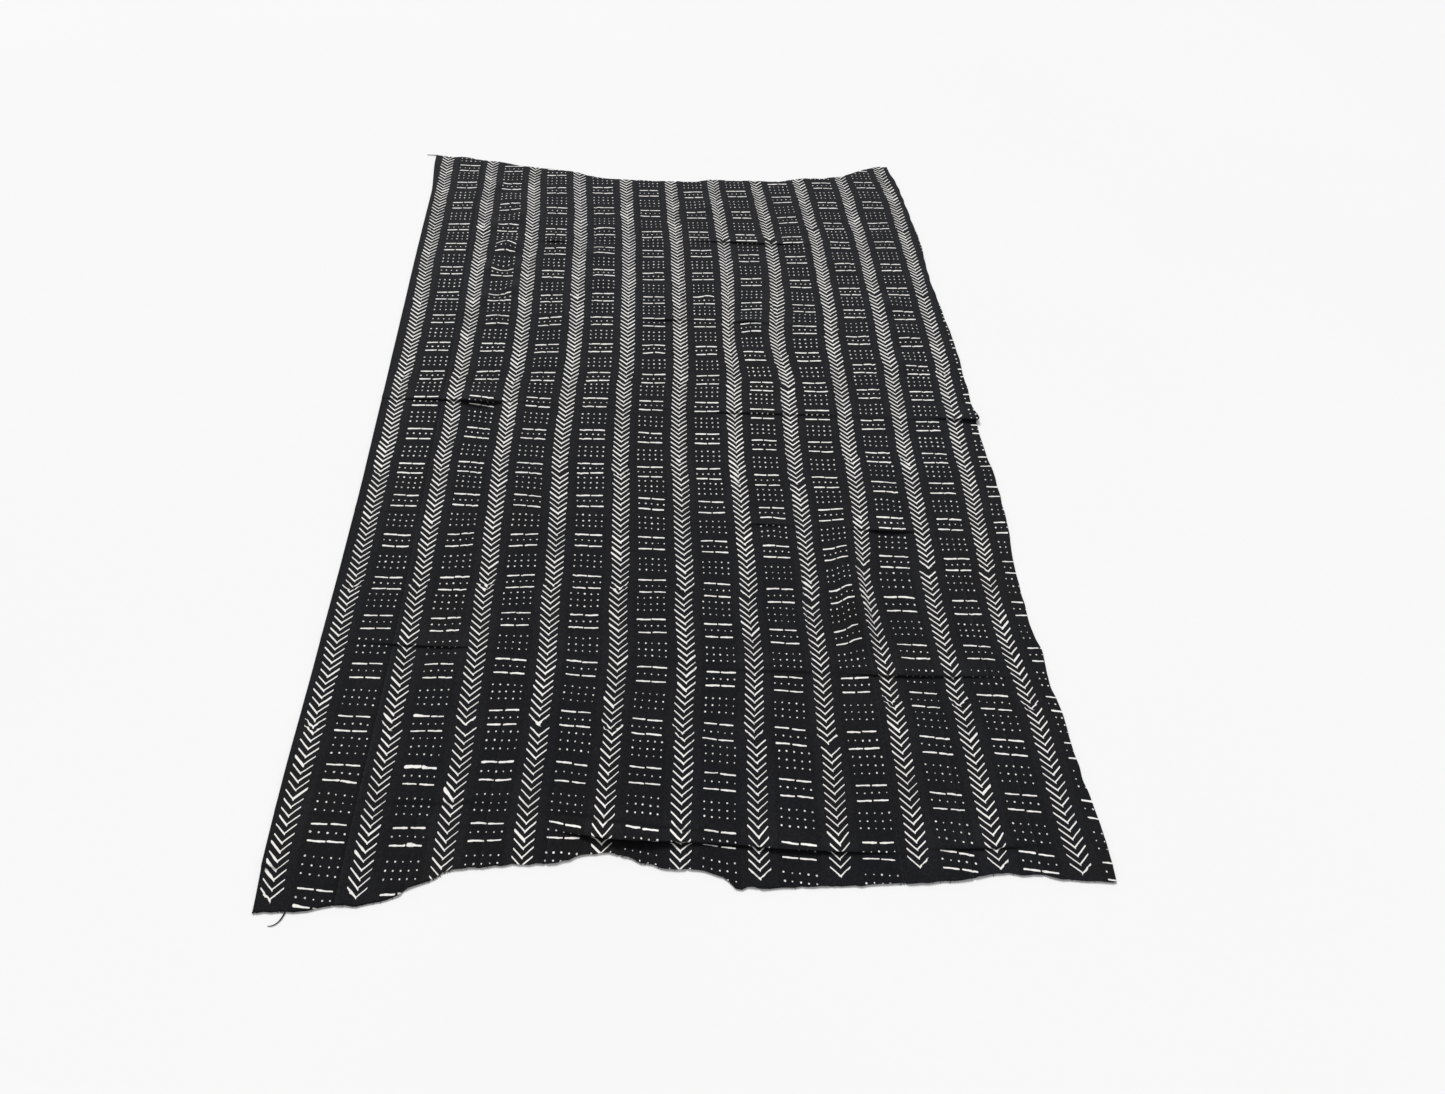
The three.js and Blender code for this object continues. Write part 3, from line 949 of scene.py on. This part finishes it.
def painted_cotton():
    """Hand-woven cotton dyed charcoal black, with the pattern left in cream, and painted shade
    between the threads and under the creases.
    """
    cream = (0.935, 0.915, 0.875, 1)
    grey_cream = (0.780, 0.765, 0.740, 1)
    # The next two colours are painted shade between the threads: on the cream marks and on the dye.
    shaded_cotton = (0.30, 0.29, 0.27, 1)
    painted_shade_between_threads = (0.0015, 0.0015, 0.002, 1)
    # Colour of the painted shade under the lips of the creases
    painted_shade_under_folds = (0.0012, 0.0012, 0.0014, 1)

    bench = Bench("painted_mud_cloth")
    across, along = bench.map_place("cloth")
    waver = bench.noise(bench.point(across, along, 7.0), 0.11, 1.0)
    thread_edge = bench.noise(bench.point(across, along, 31.0), 0.9, 2.0)
    loaded = bench.noise(bench.point(across, along, 139.0), 0.012, 1.5)
    worn = bench.noise(bench.point(across, along, 43.0), 0.035, 3.0, 0.6)
    patchy = bench.noise(bench.point(across, along, 57.0), 0.5, 2.0)
    u = bench.attribute("pattern_across") + waver * 0.8 + thread_edge * 0.5
    threads = weave(across + thread_edge * 0.25, along + waver * 0.3, THREAD_PITCH)
    # Where the weave dips between threads, which gets painted shade below.
    between = threads.fade(0.15, 0.6).flipped()

    cover = (worn * 0.16 + loaded * 0.2 + patchy * 0.16 + 1.0).smaller(1)
    marks = printed_marks(bench, across, along, u, thread_edge, loaded) * cover
    dye = black_dye(bench, across, along, u)
    # Painted shade between the threads darkens the dye.
    dye = bench.blend(between * 0.5, dye, painted_shade_between_threads)
    cotton = bench.blend((worn * 0.5 + 0.3).fade(0, 1), cream, grey_cream)
    # Painted shade between the threads darkens the cream marks, less than the dye.
    cotton = bench.blend(between * 0.22, cotton, shaded_cotton)
    colour = bench.blend(marks, dye, cotton)
    # Painted shade: dye and cream marks under the lip of each crease are darkened to near black.
    shade = bench.attribute("crease_shade") * 0.85
    colour = bench.blend(shade, colour, painted_shade_under_folds)

    fuzz = bench.noise(bench.point(across, along, 113.0), 2.6, 3.0, 0.7)
    slubs = bench.noise(bench.point(across, along * 0.12, 127.0), 0.7, 2.0)
    height = threads * 0.6 + fuzz * 0.2 + slubs * 0.25
    bench.raise_relief(height, 0.7, 0.30)
    bench.join(colour, bench.shader.inputs["Base Color"])
    bench.join(fuzz * 0.04 + 0.93, bench.shader.inputs["Roughness"])
    bench.set(bench.shader, Specular_IOR_Level=0.1, Sheen_Weight=0.085)
    bench.set(bench.shader, Sheen_Roughness=0.6, Sheen_Tint=(0.70, 0.73, 0.84, 1))
    return bench.material


def yarn_finish(name, dark, light):
    """Spun cotton yarn, lighter on its raised fibres."""
    bench = Bench(name)
    place = bench.node("ShaderNodeTexCoord").outputs["Object"]
    fibres = bench.noise(place, 2600, 2.0, 0.6)
    patches = bench.noise(place, 90, 2.0)
    colour = bench.blend((fibres * 0.6 + patches * 0.5 + 0.4).fade(0, 1), dark, light)
    bench.join(colour, bench.shader.inputs["Base Color"])
    bench.raise_relief(fibres, 0.6, 0.15)
    bench.join(patches * 0.05 + 0.9, bench.shader.inputs["Roughness"])
    bench.set(bench.shader, Specular_IOR_Level=0.2, Sheen_Weight=0.15, Sheen_Roughness=0.5)
    return bench.material


STITCH_PITCH = 9
STITCH_ARC = 2.9  # radius of the quarter turn in which a stitch passes over the seam
STITCH_SLANT = 0.45
THREAD_RADIUS = 0.3
END_STITCH = 5  # from the cut ends to the first and last stitch
STITCH_DEPTH = 0.5  # how deep the ends of a stitch go into the cloth


def seam_sewing(index, material):
    """Whip stitches over the seam at the right side of a strip."""
    seam = SEAMS[index]
    place = np.full(1, float(seam))
    near, far = (read(table, "across", "inside", place)[0] for table in (NEAR_END, FAR_END))
    start = near + END_STITCH
    count = int((CLOTH_LENGTH - far - END_STITCH - start) / STITCH_PITCH)
    bm = bmesh.new()
    bmesh.ops.create_circle(bm, segments=5, radius=THREAD_RADIUS)
    bmesh.ops.translate(bm, verts=bm.verts, vec=(-STITCH_ARC, 0, 0))
    quarter = Matrix.Rotation(math.radians(45), 3, "Y")
    bmesh.ops.rotate(bm, verts=bm.verts, cent=(0, 0, 0), matrix=quarter)
    ring = bm.verts[:] + bm.edges[:]
    bmesh.ops.spin(bm, geom=ring, axis=(0, 1, 0), angle=math.radians(90), steps=5, use_merge=False)
    bmesh.ops.holes_fill(bm, edges=bm.edges, sides=5)
    bmesh.ops.recalc_face_normals(bm, faces=bm.faces)
    low = STITCH_ARC * math.cos(math.radians(45)) + STITCH_DEPTH
    bmesh.ops.translate(bm, verts=bm.verts, vec=(0, start, -low))
    stitch = bm.verts[:] + bm.edges[:] + bm.faces[:]
    for n in range(1, count + 1):
        copy = bmesh.ops.duplicate(bm, geom=stitch)["geom"]
        verts = [part for part in copy if isinstance(part, bmesh.types.BMVert)]
        bmesh.ops.translate(bm, verts=verts, vec=(0, n * STITCH_PITCH, 0))
    mesh = mesh_from(bm, f"sewing_{index + 1:02d}")

    beside, along, over = points_of(mesh).T
    number = np.floor((along - start) / STITCH_PITCH + 0.5)
    luck = np.random.default_rng(40 + index).uniform(-1, 1, (2, count + 2))
    turn = number.astype(int)
    along = along + beside * (STITCH_SLANT + 0.2 * luck[0, turn]) + 1.1 * luck[1, turn]
    x, y, z = upper_face(seam + beside, along)
    mesh.vertices.foreach_set("co", (np.stack([x, y, z + over], axis=1) * MM).ravel())
    print_on(mesh, seam + beside, along)
    return finish_piece(place_in_scene(mesh.name, mesh), material)


def loose_yarns(name, yarns, material):
    """Yarns of round section along lists of points and radii, in millimetres, in one piece."""
    curve = bpy.data.curves.new(name, "CURVE")
    curve.dimensions = "3D"
    curve.bevel_depth = MM
    curve.bevel_resolution = 1
    curve.resolution_u = 4
    curve.use_fill_caps = True
    for yarn in yarns:
        line = curve.splines.new("NURBS")
        line.points.add(len(yarn) - 1)
        line.order_u = 3
        line.use_endpoint_u = True
        for point, (x, y, z, radius) in zip(line.points, yarn):
            point.co = (x * MM, y * MM, z * MM, 1)
            point.radius = radius
    drawn = place_in_scene(name + "_line", curve)
    mesh = bpy.data.meshes.new_from_object(drawn)
    bpy.data.objects.remove(drawn)
    mesh.name = name
    mesh.shade_smooth()
    return finish_piece(place_in_scene(name, mesh), material)


# Places where the cut ends have frayed more than elsewhere: how many ends stick out there.
FRAYS = entries(
    "from to count longest",
    (222, 258, 60, 3.2), (504, 524, 26, 3.2), (476, 500, 10, 2.2), (98, 108, 6, 2.2),
    (622, 634, 8, 2.6),
)
EVERYWHERE = 0.07  # yarn ends for each millimetre of a cut end
# A loose yarn at each end of the left selvedge, as X, Y and Z of its points and its radius.
YARN_TAILS = (
    (
        (-526, -862, 1.4, 1.1), (-528, -868, 0.9, 1.0), (-530.5, -874, 0.8, 0.8),
        (-535, -879, 0.7, 0.6), (-541, -881.5, 0.6, 0.45), (-545, -881, 0.5, 0.3),
    ),
    (
        (-562, 860, 1.4, 0.8), (-572, 862.5, 1.2, 0.7), (-582, 863, 0.9, 0.6), (-591, 864, 0.6, 0.4),
    ),
)


def frayed_end(table, outwards, rng, spans):
    """Short yarn ends that stick out of a cut end: outwards is -1 at the near end, 1 at the far."""
    yarns = []
    for span in spans:
        across = rng.uniform(span["from"], span["to"], span["count"])
        cut = read(table, "across", "inside", across)
        along = cut if outwards < 0 else CLOTH_LENGTH - cut
        x, y, z = upper_face(across, along - outwards * 1.5)
        length = span["longest"] * rng.uniform(0.25, 1, span["count"]) ** 1.5 + 1.2
        turn = rng.normal(0, 1.0, span["count"])
        curl = rng.normal(0, 0.5, span["count"])
        thick = rng.uniform(0.2, 0.42, span["count"])
        for n in range(span["count"]):
            side, ahead = math.sin(turn[n]), math.cos(turn[n]) * outwards
            bend = length[n] * curl[n] * 0.5
            inside = z[n] - CLOTH_THICKNESS / 2
            reach = length[n] * 0.6
            tip = x[n] + side * length[n] + bend, y[n] + ahead * length[n] + outwards
            yarns.append([
                (x[n], y[n], inside, thick[n]),
                (x[n] + side * 1.5, y[n] + ahead * 1.5, min(inside, 0.9), thick[n]),
                (x[n] + side * reach, y[n] + ahead * reach + outwards, 0.5, thick[n] * 0.9),
                (*tip, 0.35, thick[n] * 0.5),
            ])
    return yarns


def fray_the_ends():
    """The yarn ends at both cut ends, and the two long tails."""
    black = yarn_finish("black_yarn", (0.004, 0.004, 0.005, 1), (0.026, 0.026, 0.028, 1))
    bleached = yarn_finish("bleached_yarn", (0.05, 0.047, 0.042, 1), (0.34, 0.31, 0.26, 1))
    rng = np.random.default_rng(77)
    plain = [{"from": 4, "to": 1130, "count": int(1126 * EVERYWHERE), "longest": 2.0}]
    near = loose_yarns("frayed_near_end", frayed_end(NEAR_END, -1, rng, plain), black)
    far = loose_yarns("frayed_far_end", frayed_end(FAR_END, 1, rng, plain), black)
    pale = loose_yarns("frayed_pale_yarns", frayed_end(NEAR_END, -1, rng, FRAYS), bleached)
    tails = loose_yarns("yarn_tails", YARN_TAILS, black)
    return near, far, pale, tails


def pale_floor():
    bench = Bench("pale_floor")
    geometry = bench.node("ShaderNodeNewGeometry")
    cloudy = bench.noise(geometry.outputs["Position"], 1.2, 2.0)
    colour = bench.blend(cloudy * 0.5 + 0.5, (0.86, 0.86, 0.86, 1), (0.875, 0.875, 0.875, 1))
    bench.join(colour, bench.shader.inputs["Base Color"])
    bench.set(bench.shader, Roughness=0.9, Specular_IOR_Level=0.1)
    return bench.material


def lay_floor():
    bm = bmesh.new()
    bmesh.ops.create_grid(bm, x_segments=2, y_segments=2, size=14)
    bmesh.ops.translate(bm, verts=bm.verts, vec=(0, 0, -0.2 * MM))
    floor = place_in_scene("floor", mesh_from(bm, "floor"))
    floor.data.materials.append(pale_floor())


def set_camera():
    """The photograph's viewpoint: above the near end, a little to the left."""
    place = Vector((-0.08754, -1.12970, 1.14971))
    right = Vector((0.99723645, -0.04717262, 0.05739520))
    down = Vector((-0.00504149, -0.81373856, -0.58120920))
    forward = Vector((0.07412185, 0.57931364, -0.81172758))
    camera = place_in_scene("camera", bpy.data.cameras.new("camera"))
    turn = Matrix((right, -down, -forward)).transposed().to_4x4()
    camera.matrix_world = Matrix.Translation(place) @ turn
    camera.data.sensor_width = 36
    camera.data.lens = 21.0515
    camera.data.shift_x = 0.0157
    bpy.context.scene.camera = camera


def set_lights():
    scene = bpy.context.scene
    scene.view_settings.view_transform = "Standard"
    scene.world = bpy.data.worlds.new("soft_room")
    scene.world.use_nodes = True
    background = scene.world.node_tree.nodes["Background"]
    background.inputs["Color"].default_value = (1.0, 1.0, 1.0, 1)
    background.inputs["Strength"].default_value = 0.45
    key = place_in_scene("key", bpy.data.lights.new("key", "SUN"))
    key.data.energy = 2.95
    key.data.angle = math.radians(22)
    towards = Vector((0.25, -0.95, -0.9))
    key.rotation_euler = towards.to_track_quat("-Z", "Y").to_euler()


set_camera()
set_lights()
lay_floor()
near_frays, far_frays, pale_frays, yarn_tails = fray_the_ends()
painted = painted_cotton()
sewing = [seam_sewing(index, painted) for index in range(len(SEAMS))]
for strip_index in range(STRIP_COUNT):
    strip, flat = woven_strip(strip_index, painted)
